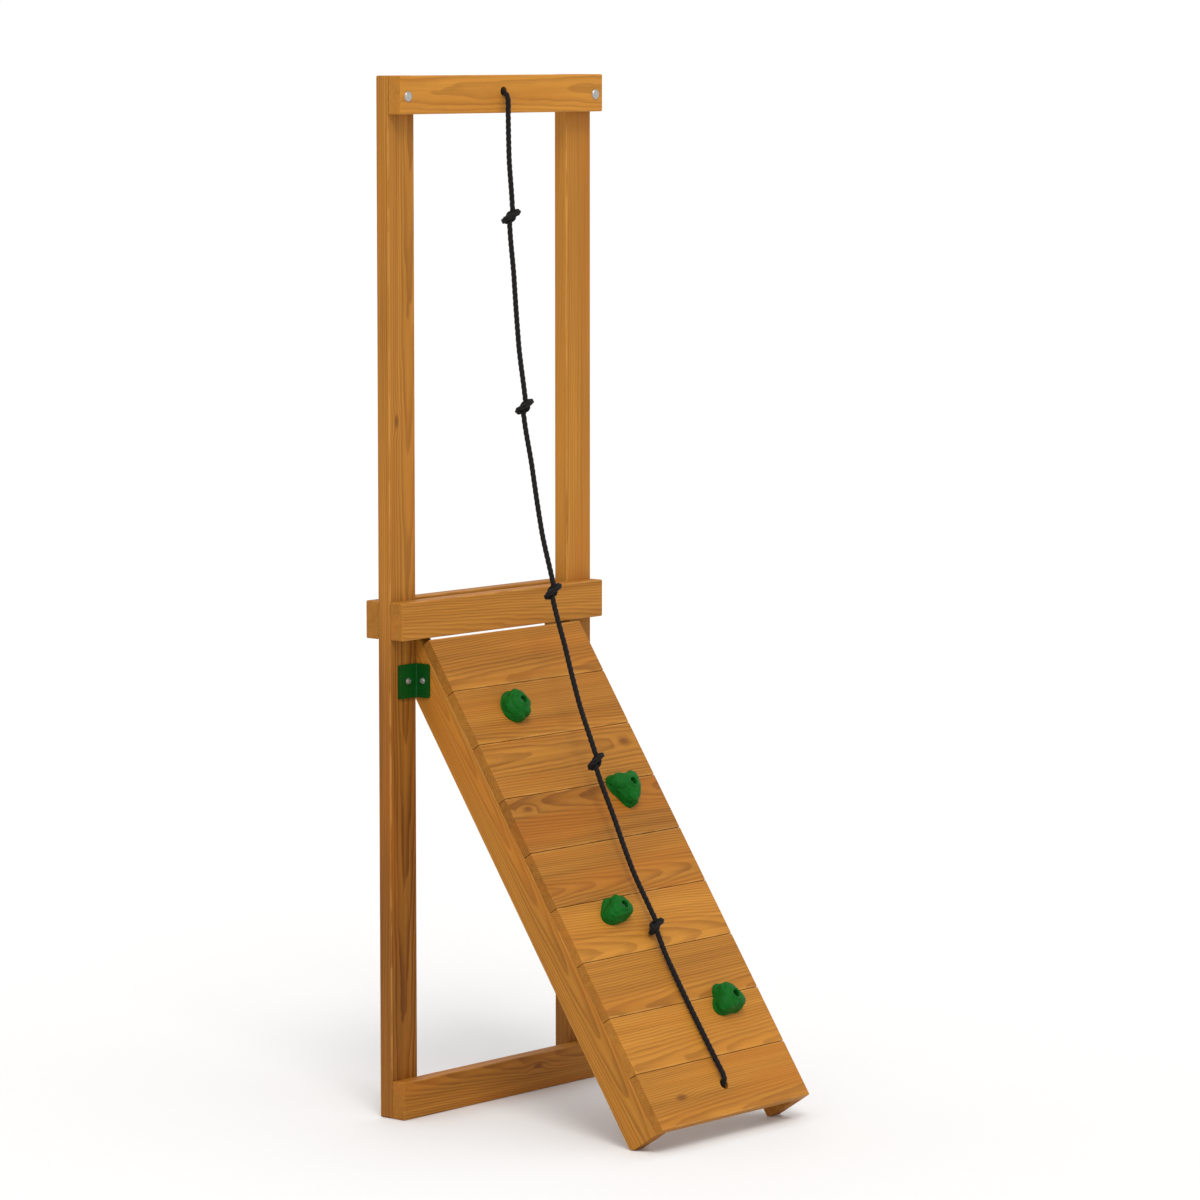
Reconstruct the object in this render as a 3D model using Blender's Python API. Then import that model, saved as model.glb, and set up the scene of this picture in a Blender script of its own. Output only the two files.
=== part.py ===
"""Timber climbing wall for a garden play frame.

Two posts and four cross beams make an upright end frame. A sloping panel of nine boards
on two rails leans against its middle beam, with four moulded rock holds bolted to it, and
a knotted rope runs from the top beam down to the foot of the panel.

Metres, +Z up, +X along the width, and the climber stands on the -Y side. The origin is
the middle of the front ground beam's underside.
"""

import math

import bmesh
import bpy
import numpy as np
from mathutils import Matrix, Vector

# Clearance kept between faces that touch.
GAP = 0.0003

# Timber sections.
STOCK_THICK = 0.038
STOCK_WIDE = 0.089
TIMBER_EASE = 0.003
BOARD_THICK = 0.0254
BOARD_WIDE = 0.1419
TOP_BOARD_WIDE = 0.1377
BOARD_SPACING = 0.0012
BOARD_EASE = 0.0015

# End frame.
FRAME_WIDTH = 0.720
FRAME_HEIGHT = 2.438
MID_BEAM_BOTTOM = 1.1305
FRONT_FACE = -STOCK_THICK / 2
POST_FRONT = STOCK_THICK / 2 + GAP
POST_BACK = POST_FRONT + STOCK_THICK
POST_X = (FRAME_WIDTH - STOCK_WIDE) / 2

# Sloping panel. Panel coordinates are X, then up the slope, then out from the rails' underside.
SLOPE = math.radians(56.4)
PANEL_WIDTH = 0.541
PANEL_FOOT_Y = -0.633
FOOT_DROP = 0.005
BOARD_COUNT = 9
RAIL_X = (PANEL_WIDTH - STOCK_THICK) / 2
BOARD_BACK = STOCK_WIDE + GAP
SURFACE = BOARD_BACK + BOARD_THICK
PANEL = Matrix.Translation((0, PANEL_FOOT_Y, 0)) @ Matrix.Rotation(SLOPE, 4, "X")

# Rope.
ROPE_DIAMETER = 0.013
ROPE_TOP_HOLE_RADIUS = 0.011
ROPE_FOOT_HOLE_RADIUS = 0.013
ROPE_TOP_Z = 2.400
ROPE_FOOT_UP = 0.068
ROPE_STEP = 0.036
KNOT_HEIGHTS = (2.107, 1.661, 1.230, 0.838, 0.468)
KNOT_LENGTH = 0.050
KNOT_RADIUS = 0.021
KNOT_BORE = ROPE_DIAMETER / 2 + 0.0030
STOP_KNOT_RADIUS = 0.020
STOP_KNOT_LENGTH = 0.034
# The rope's line in the plane X = 0, as (Y, Z), from the top beam's back face to the
# foot board's back face.
ROPE_ROUTE = (
    (0.0190, 2.4000), (0.0000, 2.4000), (-0.0110, 2.4000), (-0.0220, 2.3970),
    (-0.0301, 2.3890), (-0.0330, 2.3780), (-0.0332, 2.3500), (-0.0340, 2.3000),
    (-0.0372, 2.2000), (-0.0418, 2.1000), (-0.0478, 2.0000), (-0.0556, 1.9000),
    (-0.0654, 1.8000), (-0.0770, 1.7000), (-0.0917, 1.6000), (-0.1095, 1.5000),
    (-0.1290, 1.4000), (-0.1520, 1.3000), (-0.1785, 1.2000), (-0.2083, 1.1000),
    (-0.2410, 1.0000), (-0.2780, 0.9000), (-0.3190, 0.8000), (-0.3630, 0.7000),
    (-0.4110, 0.6000), (-0.4650, 0.5040), (-0.4870, 0.4680), (-0.5180, 0.4040),
    (-0.5535, 0.3430), (-0.5975, 0.2760), (-0.6420, 0.2100), (-0.6700, 0.1690),
    (-0.6880, 0.1425), (-0.6915, 0.1325), (-0.6895, 0.1223), (-0.6826, 0.1146),
    (-0.6697, 0.1060),
)

# Fasteners.
BOLT_RADIUS = 0.0048
BOLT_HOLE = BOLT_RADIUS + 0.0005
BOLT_HEAD_RADIUS = 0.0125
BOLT_HEAD_HEIGHT = 0.0055
NUT_RADIUS = 0.0098
NUT_HEIGHT = 0.0085
NUT_FLANGE_RADIUS = 0.0135
NUT_FLANGE = 0.002
BOLT_TAIL = 0.013
TOP_BOLT_INSET = 0.027
TOP_BOLT_Z = 2.390
BOLT_SIDES = 20

# Corner brackets, which tie the rails to the posts.
BRACKET_THICK = 0.004
BRACKET_POST_LEG = 0.064
BRACKET_RAIL_LEG = 0.044
BRACKET_LOW = 0.990
BRACKET_HIGH = 1.070
POST_SCREW_REACH = 0.033
RAIL_SCREW_REACH = 0.024
BRACKET_SCREW_LENGTH = 0.030

# Lag screws. Those of the middle and ground beams go in from the back, as a slanting pair.
LAG_RADIUS = 0.0038
LAG_HOLE = LAG_RADIUS + 0.0004
LAG_HEAD_RADIUS = 0.0075
LAG_HEAD_HEIGHT = 0.0045
LAG_SPREAD = 0.0215
MID_SCREW_LENGTH = 0.100
GROUND_SCREW_LENGTH = 0.062

# Rock holds: the middle's X and distance up the slope, half the width and half the length,
# the height, and the outline's lobes, each as (count, strength, turn in degrees).
HOLDS = (
    {"at": (-0.102, 1.077), "half": (0.039, 0.045), "height": 0.044, "lobes": ((2, 0.06, 20), (3, 0.04, 75))},
    {"at": (0.134, 0.829), "half": (0.044, 0.048), "height": 0.046, "lobes": ((3, 0.17, -90), (2, 0.05, 0))},
    {"at": (-0.094, 0.531), "half": (0.048, 0.036), "height": 0.044, "lobes": ((3, 0.10, 90), (2, 0.05, 40))},
    {"at": (0.132, 0.262), "half": (0.047, 0.041), "height": 0.046, "lobes": ((3, 0.17, 90), (2, 0.03, 80))},
)
HOLD_SIDES = 28
# The hold's side, from its back to its crown: (share of the outline, share of the height).
HOLD_PROFILE = ((0.96, 0.0), (1.0, 0.14), (0.97, 0.40), (0.86, 0.66), (0.68, 0.86), (0.46, 0.97), (0.30, 1.0))
HOLD_SINK_RADIUS = 0.0092
HOLD_SEAT = 0.024
CAP_HEAD_RADIUS = 0.0080
CAP_HEAD_HEIGHT = 0.0090
TEE_BARREL_RADIUS = 0.0065
TEE_FLANGE_RADIUS = 0.0125
TEE_FLANGE = 0.0016
TEE_BARREL_LENGTH = 0.013


def make_material(name, colour, roughness, metallic=0.0):
    """A Principled material, with its colour given in linear values."""
    material = bpy.data.materials.new(name)
    material.use_nodes = True
    shader = material.node_tree.nodes["Principled BSDF"]
    shader.inputs["Base Color"].default_value = (*colour, 1.0)
    shader.inputs["Roughness"].default_value = roughness
    shader.inputs["Metallic"].default_value = metallic
    material.diffuse_color = (*colour, 1.0)
    return material


def add_object(name, mesh, material, place=None):
    """Adds the mesh to the scene under this name, at a matrix that holds no scale."""
    obj = bpy.data.objects.new(name, mesh)
    bpy.context.scene.collection.objects.link(obj)
    obj.data.materials.append(material)
    obj.matrix_world = place or Matrix.Identity(4)
    return obj


def mesh_from(name, shape):
    """Turns a bmesh into a mesh whose faces point out, and frees the bmesh."""
    bmesh.ops.recalc_face_normals(shape, faces=shape.faces)
    mesh = bpy.data.meshes.new(name)
    shape.to_mesh(mesh)
    shape.free()
    return mesh


def box_mesh(name, low, high):
    shape = bmesh.new()
    bmesh.ops.create_cube(shape, size=1)
    size = Vector(high) - Vector(low)
    middle = (Vector(high) + Vector(low)) / 2
    bmesh.ops.scale(shape, vec=size, verts=shape.verts)
    bmesh.ops.translate(shape, vec=middle, verts=shape.verts)
    return mesh_from(name, shape)


def prism_mesh(name, outline, low, high):
    """The outline's (Y, Z) points, extruded from X = low to X = high."""
    shape = bmesh.new()
    near = [shape.verts.new((low, y, z)) for y, z in outline]
    far = [shape.verts.new((high, y, z)) for y, z in outline]
    shape.faces.new(near)
    shape.faces.new(far)
    for i in range(len(outline)):
        j = (i + 1) % len(outline)
        shape.faces.new((near[i], near[j], far[j], far[i]))
    return mesh_from(name, shape)


def loft_mesh(name, rings):
    """Joins rings of points into one skin: the first and last rings are capped."""
    shape = bmesh.new()
    loops = [[shape.verts.new(point) for point in ring] for ring in rings]
    for lower, upper in zip(loops, loops[1:]):
        for i in range(len(lower)):
            j = (i + 1) % len(lower)
            shape.faces.new((lower[i], lower[j], upper[j], upper[i]))
    shape.faces.new(loops[0])
    shape.faces.new(loops[-1])
    return mesh_from(name, shape)


def collar_mesh(name, rings):
    """Joins rings of points into one closed tube whose last ring meets its first."""
    shape = bmesh.new()
    loops = [[shape.verts.new(point) for point in ring] for ring in rings]
    for k, lower in enumerate(loops):
        upper = loops[(k + 1) % len(loops)]
        for i in range(len(lower)):
            j = (i + 1) % len(lower)
            shape.faces.new((lower[i], lower[j], upper[j], upper[i]))
    return mesh_from(name, shape)


def ring(radius, height, sides):
    """A circle of points about the local Z axis."""
    turns = (2 * math.pi * i / sides for i in range(sides))
    return [(radius * math.cos(t), radius * math.sin(t), height) for t in turns]


def turned(profile, sides):
    return [ring(radius, height, sides) for radius, height in profile]


def along(axis, point):
    """A matrix that stands local Z along axis, at the point."""
    turn = Vector((0, 0, 1)).rotation_difference(Vector(axis)).to_matrix().to_4x4()
    return Matrix.Translation(point) @ turn


def drill(obj, radius, axis, point, length):
    """Cuts a round hole that starts at the point and runs along the axis."""
    sides = turned(((radius, 0), (radius, length)), BOLT_SIDES)
    cutter = add_object(f"{obj.name}_hole", loft_mesh("hole", sides), STEEL, along(axis, point))
    cutter.hide_render = True
    cutter.display_type = "WIRE"
    cut = obj.modifiers.new("Hole", "BOOLEAN")
    cut.operation = "DIFFERENCE"
    cut.solver = "EXACT"
    cut.object = cutter


def ease_edges(obj, width):
    bevel = obj.modifiers.new("Eased edges", "BEVEL")
    bevel.width = width
    bevel.segments = 2
    bevel.limit_method = "ANGLE"
    bevel.angle_limit = math.radians(30)


def smooth_by_angle(mesh, degrees=35):
    mesh.shade_smooth()
    mesh.set_sharp_from_angle(angle=math.radians(degrees))


def timber(name, low, high):
    obj = add_object(name, box_mesh(name, low, high), TIMBER)
    ease_edges(obj, TIMBER_EASE)
    return obj


# ---- End frame ---------------------------------------------------------------------------


def make_posts():
    posts = {}
    for side, sign in (("left", -1), ("right", 1)):
        inner, outer = sorted((sign * (FRAME_WIDTH / 2 - STOCK_WIDE), sign * FRAME_WIDTH / 2))
        low = (inner, POST_FRONT, 0)
        high = (outer, POST_BACK, FRAME_HEIGHT)
        posts[side] = timber(f"{side}_post", low, high)
    return posts


def make_beam(name, front, bottom):
    half = FRAME_WIDTH / 2
    return timber(name, (-half, front, bottom), (half, front + STOCK_THICK, bottom + STOCK_WIDE))


def make_end_frame():
    """The posts, the beams, the bolts through the top beam and the other beams' screws."""
    posts = make_posts()
    back = POST_BACK + GAP
    top_beam = make_beam("top_beam", FRONT_FACE, FRAME_HEIGHT - STOCK_WIDE)
    mid_beams = (
        make_beam("mid_beam_front", FRONT_FACE, MID_BEAM_BOTTOM),
        make_beam("mid_beam_back", back, MID_BEAM_BOTTOM),
    )
    ground_beam = make_beam("ground_beam", FRONT_FACE, 0)
    for side, sign in (("left", -1), ("right", 1)):
        post = posts[side]
        reach = sign * (FRAME_WIDTH / 2 - TOP_BOLT_INSET)
        for piece in (top_beam, post):
            start = (reach, FRONT_FACE - 0.01, TOP_BOLT_Z)
            drill(piece, BOLT_HOLE, (0, 1, 0), start, 0.16)
        make_carriage_bolt(f"top_bolt_{side}", reach, TOP_BOLT_Z, POST_BACK)
        make_flange_nut(f"top_nut_{side}", reach, TOP_BOLT_Z, POST_BACK)
        screw_pair(
            f"mid_screw_{side}",
            (*mid_beams, post),
            (sign, back + STOCK_THICK, MID_BEAM_BOTTOM + STOCK_WIDE / 2),
            MID_SCREW_LENGTH,
        )
        screw_pair(
            f"ground_screw_{side}",
            (ground_beam, post),
            (sign, POST_BACK, STOCK_WIDE / 2),
            GROUND_SCREW_LENGTH,
        )
    hole_start = (0, FRONT_FACE - 0.01, ROPE_TOP_Z)
    drill(top_beam, ROPE_TOP_HOLE_RADIUS, (0, 1, 0), hole_start, STOCK_THICK + 0.02)
    return posts


def screw_pair(name, pieces, place, length):
    """Two lag screws that go in from the back through these pieces, one higher than the other.

    The place is the post's side (-1 left, 1 right), the Y under the heads and the middle height.
    """
    sign, back, height = place
    for level, shift in (("upper", LAG_SPREAD), ("lower", -LAG_SPREAD)):
        point = Vector((sign * (POST_X + shift), back, height + shift))
        drive_lag_screw(f"{name}_{level}", pieces, point, Vector((0, -1, 0)), length)


def make_carriage_bolt(name, x, height, stack_back):
    """A round-headed bolt from the front face, through to past its nut."""
    shank = stack_back + GAP - FRONT_FACE + BOLT_TAIL
    head = BOLT_HEAD_HEIGHT
    profile = (
        (BOLT_HEAD_RADIUS * 0.45, -head),
        (BOLT_HEAD_RADIUS * 0.80, -head * 0.78),
        (BOLT_HEAD_RADIUS, -head * 0.30),
        (BOLT_HEAD_RADIUS, -GAP),
        (BOLT_RADIUS, -GAP),
        (BOLT_RADIUS, shank),
    )
    mesh = loft_mesh(name, turned(profile, BOLT_SIDES))
    smooth_by_angle(mesh)
    return add_object(name, mesh, STEEL, along((0, 1, 0), (x, FRONT_FACE, height)))


def make_flange_nut(name, x, height, stack_back):
    """A hexagon on a round flange, with the bolt's bore through both."""
    bore = BOLT_RADIUS + GAP
    rings = [
        ring(bore, 0, 24),
        ring(NUT_FLANGE_RADIUS, 0, 24),
        ring(NUT_FLANGE_RADIUS, NUT_FLANGE, 24),
        hexagon_ring(NUT_FLANGE, 24),
        hexagon_ring(NUT_HEIGHT, 24),
        ring(bore, NUT_HEIGHT, 24),
    ]
    mesh = collar_mesh(name, rings)
    return add_object(name, mesh, STEEL, along((0, 1, 0), (x, stack_back + GAP, height)))


def hexagon_ring(height, sides):
    """Points on a hexagon, as many as the round rings beside it have."""
    points = []
    flat = NUT_RADIUS * math.cos(math.pi / 6)
    for i in range(sides):
        turn = 2 * math.pi * i / sides
        off_flat = (turn + math.pi / 6) % (math.pi / 3) - math.pi / 6
        radius = flat / math.cos(off_flat)
        points.append((radius * math.cos(turn), radius * math.sin(turn), height))
    return points


# ---- Sloping panel -----------------------------------------------------------------------


def panel_point(x, up, out):
    return PANEL @ Vector((x, up, out))


def rail_outline():
    """The rail's side: levelled foot, square end, top edge, seat under the beam, plumb cut.

    The top end goes in between the posts, as far as their backs.
    """
    tangent = math.tan(SLOPE)
    foot = panel_point(0, -FOOT_DROP, FOOT_DROP * tangent)
    end = panel_point(0, -FOOT_DROP, STOCK_WIDE)
    seat_z = MID_BEAM_BOTTOM - GAP
    seat_y = end.y + (seat_z - end.z) / tangent
    plumb_y = POST_BACK
    plumb_z = (plumb_y - PANEL_FOOT_Y) * tangent
    return (
        (PANEL_FOOT_Y, 0),
        (foot.y, 0),
        (end.y, end.z),
        (seat_y, seat_z),
        (plumb_y, seat_z),
        (plumb_y, plumb_z),
    )


def make_rails():
    rails = {}
    for side, sign in (("left", -1), ("right", 1)):
        low = sign * RAIL_X - STOCK_THICK / 2
        mesh = prism_mesh("rail", rail_outline(), low, low + STOCK_THICK)
        rails[side] = add_object(f"{side}_rail", mesh, TIMBER)
        ease_edges(rails[side], 0.001)
    return rails


def board_low(index):
    return -FOOT_DROP + index * (BOARD_WIDE + BOARD_SPACING)


def make_boards():
    """The boards, drilled for the holds' bolts and for the rope."""
    boards = []
    half = PANEL_WIDTH / 2
    for index in range(BOARD_COUNT):
        up = board_low(index)
        wide = TOP_BOARD_WIDE if index == BOARD_COUNT - 1 else BOARD_WIDE
        low = (-half, up, BOARD_BACK)
        high = (half, up + wide, SURFACE)
        name = f"board_{index + 1}"
        board = add_object(name, box_mesh(name, low, high), BOARD, PANEL)
        ease_edges(board, BOARD_EASE)
        boards.append(board)
    outward = PANEL.to_3x3() @ Vector((0, 0, 1))
    for hold in HOLDS:
        x, up = hold["at"]
        index = int((up + FOOT_DROP) / (BOARD_WIDE + BOARD_SPACING))
        start = panel_point(x, up, BOARD_BACK - 0.01)
        drill(boards[index], TEE_BARREL_RADIUS + GAP, outward, start, BOARD_THICK + 0.02)
    start = panel_point(0, ROPE_FOOT_UP, BOARD_BACK - 0.01)
    drill(boards[0], ROPE_FOOT_HOLE_RADIUS, outward, start, BOARD_THICK + 0.02)
    return boards


# ---- Corner brackets ---------------------------------------------------------------------


def make_brackets(posts, rails):
    """An angle bracket in each corner between a post's front and a rail's outer side."""
    face_y = POST_FRONT - GAP
    face_x = PANEL_WIDTH / 2 + GAP
    height = (BRACKET_LOW + BRACKET_HIGH) / 2
    for side, sign in (("left", -1), ("right", 1)):
        outline = (
            (face_x, face_y),
            (face_x + BRACKET_POST_LEG, face_y),
            (face_x + BRACKET_POST_LEG, face_y - BRACKET_THICK),
            (face_x + BRACKET_THICK, face_y - BRACKET_THICK),
            (face_x + BRACKET_THICK, face_y - BRACKET_RAIL_LEG),
            (face_x, face_y - BRACKET_RAIL_LEG),
        )
        rings = [[(sign * x, y, z) for x, y in outline] for z in (BRACKET_LOW, BRACKET_HIGH)]
        bracket = add_object(f"corner_bracket_{side}", loft_mesh("bracket", rings), GREEN_METAL)
        ease_edges(bracket, 0.0008)
        to_post = Vector((sign * (face_x + POST_SCREW_REACH), face_y - BRACKET_THICK, height))
        to_rail = Vector((sign * (face_x + BRACKET_THICK), face_y - RAIL_SCREW_REACH, height))
        into_rail = Vector((-sign, 0, 0))
        length = BRACKET_SCREW_LENGTH
        drive_lag_screw(f"post_screw_{side}", (bracket, posts[side]), to_post, Vector((0, 1, 0)), length)
        drive_lag_screw(f"rail_screw_{side}", (bracket, rails[side]), to_rail, into_rail, length)


def drive_lag_screw(name, pieces, point, inward, length):
    """A lag screw whose head rests at the point, and its hole in each piece that it enters."""
    for piece in pieces:
        drill(piece, LAG_HOLE, inward, point - inward * 0.01, length + 0.011)
    profile = (
        (LAG_HEAD_RADIUS * 0.70, -LAG_HEAD_HEIGHT),
        (LAG_HEAD_RADIUS, -LAG_HEAD_HEIGHT * 0.60),
        (LAG_HEAD_RADIUS, -GAP),
        (LAG_RADIUS, -GAP),
        (LAG_RADIUS, length - 0.006),
        (LAG_RADIUS * 0.30, length),
    )
    mesh = loft_mesh(name, turned(profile, 16))
    smooth_by_angle(mesh)
    return add_object(name, mesh, STEEL, along(inward, point))


# ---- Rock holds --------------------------------------------------------------------------


def hold_ring(hold, share, height):
    """The hold's lobed outline at one height. Lobes fade towards the round crown."""
    points = []
    for i in range(HOLD_SIDES):
        turn = 2 * math.pi * i / HOLD_SIDES
        lobed = sum(
            strength * math.cos(count * (turn - math.radians(offset)))
            for count, strength, offset in hold["lobes"]
        )
        reach = share * (1 + lobed * min(1.0, share * 1.1))
        half_width, half_length = hold["half"]
        points.append((half_width * reach * math.cos(turn), half_length * reach * math.sin(turn), height))
    return points


def make_holds():
    """Each hold with its counterbore, the cap screw in it and the tee nut behind the board."""
    for index, hold in enumerate(HOLDS, start=1):
        x, up = hold["at"]
        place = PANEL @ Matrix.Translation((x, up, SURFACE + GAP))
        rings = [hold_ring(hold, share, height * hold["height"]) for share, height in HOLD_PROFILE]
        crown = hold["height"] - 0.001
        rings += turned(
            (
                (HOLD_SINK_RADIUS, crown),
                (HOLD_SINK_RADIUS, HOLD_SEAT),
                (BOLT_HOLE, HOLD_SEAT),
                (BOLT_HOLE, 0),
            ),
            HOLD_SIDES,
        )
        mesh = collar_mesh(f"rock_hold_{index}", rings)
        smooth_by_angle(mesh, 50)
        add_object(f"rock_hold_{index}", mesh, GREEN_PLASTIC, place)
        make_cap_screw(f"hold_screw_{index}", place)
        make_tee_nut(f"tee_nut_{index}", place)


def make_cap_screw(name, place):
    """A socket-headed screw whose head sits in the hold's counterbore."""
    under_head = HOLD_SEAT + GAP
    top = under_head + CAP_HEAD_HEIGHT
    socket = 0.0042
    profile = (
        (BOLT_RADIUS, -BOARD_THICK - 0.004),
        (BOLT_RADIUS, under_head),
        (CAP_HEAD_RADIUS, under_head),
        (CAP_HEAD_RADIUS, top),
        (socket, top),
        (socket, top - 0.005),
    )
    mesh = loft_mesh(name, turned(profile, 18))
    smooth_by_angle(mesh)
    return add_object(name, mesh, STEEL, place)


def make_tee_nut(name, place):
    """A flanged barrel let into the board's back."""
    back = -GAP * 2 - BOARD_THICK
    bore = BOLT_RADIUS + GAP
    profile = (
        (bore, back - TEE_FLANGE),
        (TEE_FLANGE_RADIUS, back - TEE_FLANGE),
        (TEE_FLANGE_RADIUS, back),
        (TEE_BARREL_RADIUS, back),
        (TEE_BARREL_RADIUS, back + TEE_BARREL_LENGTH),
        (bore, back + TEE_BARREL_LENGTH),
    )
    return add_object(name, collar_mesh(name, turned(profile, 18)), STEEL, place)


# ---- Rope --------------------------------------------------------------------------------


def smooth_route(route, step):
    """Points on a smooth curve through the route, at most about a step apart."""
    points = [Vector((0, y, z)) for y, z in route]
    padded = [2 * points[0] - points[1], *points, 2 * points[-1] - points[-2]]
    result = []
    for before, start, end, after in zip(padded, padded[1:], padded[2:], padded[3:]):
        knots = np.cumsum([0] + [
            max((b - a).length, 1e-6) ** 0.5
            for a, b in ((before, start), (start, end), (end, after))
        ])
        count = max(1, round((end - start).length / step))
        for i in range(count):
            t = knots[1] + (knots[2] - knots[1]) * i / count
            result.append(spline_point((before, start, end, after), knots, t))
    result.append(points[-1])
    return result


def spline_point(points, knots, t):
    """One point of a centripetal Catmull-Rom span."""
    level = list(points)
    for reach in (1, 2, 3):
        blended = []
        for i in range(len(level) - 1):
            if reach == 3:
                low, high = knots[1], knots[2]
            elif reach == 2:
                low, high = knots[i], knots[i + 2]
            else:
                low, high = knots[i], knots[i + 1]
            share = (t - low) / (high - low)
            blended.append(level[i] * (1 - share) + level[i + 1] * share)
        level = blended
    return level[0]


def make_rope(line):
    curve = bpy.data.curves.new("rope", "CURVE")
    curve.dimensions = "3D"
    curve.bevel_depth = ROPE_DIAMETER / 2
    curve.bevel_resolution = 3
    curve.use_fill_caps = True
    spline = curve.splines.new("POLY")
    spline.points.add(len(line) - 1)
    for point, place in zip(spline.points, line):
        point.co = (*place, 1)
    rope = bpy.data.objects.new("rope", curve)
    bpy.context.scene.collection.objects.link(rope)
    curve.materials.append(BLACK_ROPE)


def place_at_height(line, height):
    """The point where the rope's line passes this height, and the line's direction there."""
    for upper, lower in zip(line, line[1:]):
        if upper.z >= height > lower.z:
            share = (upper.z - height) / (upper.z - lower.z)
            return upper.lerp(lower, share), (lower - upper).normalized()
    raise ValueError(f"the rope doesn't pass {height} m")


def make_knots(line):
    """The climbing knots, each a rounded bead that the rope runs through."""
    half = KNOT_LENGTH / 2
    outside = [
        (KNOT_RADIUS * math.cos(turn) ** 0.6, half * math.sin(turn))
        for turn in (math.radians(degrees) for degrees in range(-66, 67, 22))
    ]
    rings = turned([(KNOT_BORE, outside[0][1]), *outside, (KNOT_BORE, outside[-1][1])], 20)
    for index, height in enumerate(KNOT_HEIGHTS, start=1):
        point, direction = place_at_height(line, height)
        mesh = collar_mesh(f"rope_knot_{index}", rings)
        smooth_by_angle(mesh, 50)
        add_object(f"rope_knot_{index}", mesh, BLACK_ROPE, along(direction, point))


def make_stop_knots():
    """The knots that hold the rope's ends behind the top beam and behind the foot board."""
    radius, length = STOP_KNOT_RADIUS, STOP_KNOT_LENGTH
    profile = (
        (radius * 0.80, 0),
        (radius, length * 0.22),
        (radius, length * 0.55),
        (radius * 0.80, length * 0.84),
        (radius * 0.40, length),
    )
    inward = PANEL.to_3x3() @ Vector((0, 0, -1))
    ends = (
        ("stop_knot_top", (0, POST_FRONT, ROPE_TOP_Z), (0, 1, 0)),
        ("stop_knot_foot", panel_point(0, ROPE_FOOT_UP, STOCK_WIDE), inward),
    )
    for name, point, direction in ends:
        mesh = loft_mesh(name, turned(profile, 20))
        smooth_by_angle(mesh, 50)
        add_object(name, mesh, BLACK_ROPE, along(direction, Vector(point) + Vector(direction) * GAP))


def main():
    posts = make_end_frame()
    rails = make_rails()
    make_boards()
    make_brackets(posts, rails)
    make_holds()
    line = smooth_route(ROPE_ROUTE, ROPE_STEP)
    make_rope(line)
    make_knots(line)
    make_stop_knots()


for leftover in list(bpy.data.objects):
    bpy.data.objects.remove(leftover, do_unlink=True)

TIMBER = make_material("honey_timber", (0.45, 0.19, 0.035), 0.62)
BOARD = make_material("honey_board", (0.42, 0.17, 0.032), 0.60)
GREEN_METAL = make_material("dark_green_coating", (0.008, 0.060, 0.008), 0.45)
GREEN_PLASTIC = make_material("green_moulded_plastic", (0.008, 0.100, 0.012), 0.50)
STEEL = make_material("galvanised_steel", (0.60, 0.60, 0.58), 0.42, 1.0)
BLACK_ROPE = make_material("black_rope", (0.012, 0.012, 0.014), 0.85)

main()
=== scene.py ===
"""The looks of the timber climbing wall: camera, light, rope, rock holds, fasteners, wood.

Metres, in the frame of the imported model: +Z up, +X along the wall's width, and the climber
stands on the -Y side. Panel coordinates are X, up the slope, and out from the boards.
"""

import math

import bmesh
import bpy
import numpy as np
from mathutils import Matrix, Vector, noise


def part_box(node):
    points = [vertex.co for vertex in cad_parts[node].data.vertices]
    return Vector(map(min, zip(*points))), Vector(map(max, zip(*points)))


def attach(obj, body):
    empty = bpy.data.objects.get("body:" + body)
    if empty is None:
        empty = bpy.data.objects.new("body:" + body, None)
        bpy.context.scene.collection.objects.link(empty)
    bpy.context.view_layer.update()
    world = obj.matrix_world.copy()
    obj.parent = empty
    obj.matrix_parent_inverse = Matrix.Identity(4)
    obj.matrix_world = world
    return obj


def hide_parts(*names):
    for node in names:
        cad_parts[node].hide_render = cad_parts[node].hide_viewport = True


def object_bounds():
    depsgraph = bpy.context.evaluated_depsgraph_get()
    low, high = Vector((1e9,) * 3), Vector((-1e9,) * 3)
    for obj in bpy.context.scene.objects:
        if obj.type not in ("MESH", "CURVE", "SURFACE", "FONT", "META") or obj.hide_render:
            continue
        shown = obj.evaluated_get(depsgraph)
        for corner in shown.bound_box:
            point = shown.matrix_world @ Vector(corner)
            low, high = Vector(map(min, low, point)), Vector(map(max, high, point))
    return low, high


# Camera and light.
CAMERA_PLACE = Vector((-9.338, -8.212, 2.523))
CAMERA_LENS = 158.0
KEY_DIRECTION = Vector((0.55, 0.62, -1.0))
KEY_STRENGTH = 1.5
KEY_ANGLE = math.radians(24)
SKY_STRENGTH = 1.02
FLOOR_HALF = 60
FLOOR_DROP = 0.0005

# Sloping panel.
SLOPE = math.radians(56.4)
UP_SLOPE = Vector((0, math.cos(SLOPE), math.sin(SLOPE)))
OUTWARD = Vector((0, -math.sin(SLOPE), math.cos(SLOPE)))
PANEL_FOOT = Vector((0, -0.633, 0))
RAIL_DEPTH = 0.089
BOARD_COUNT = 9

# Wood. Stains are linear colours.
RING_SPACING = 0.0046
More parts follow.
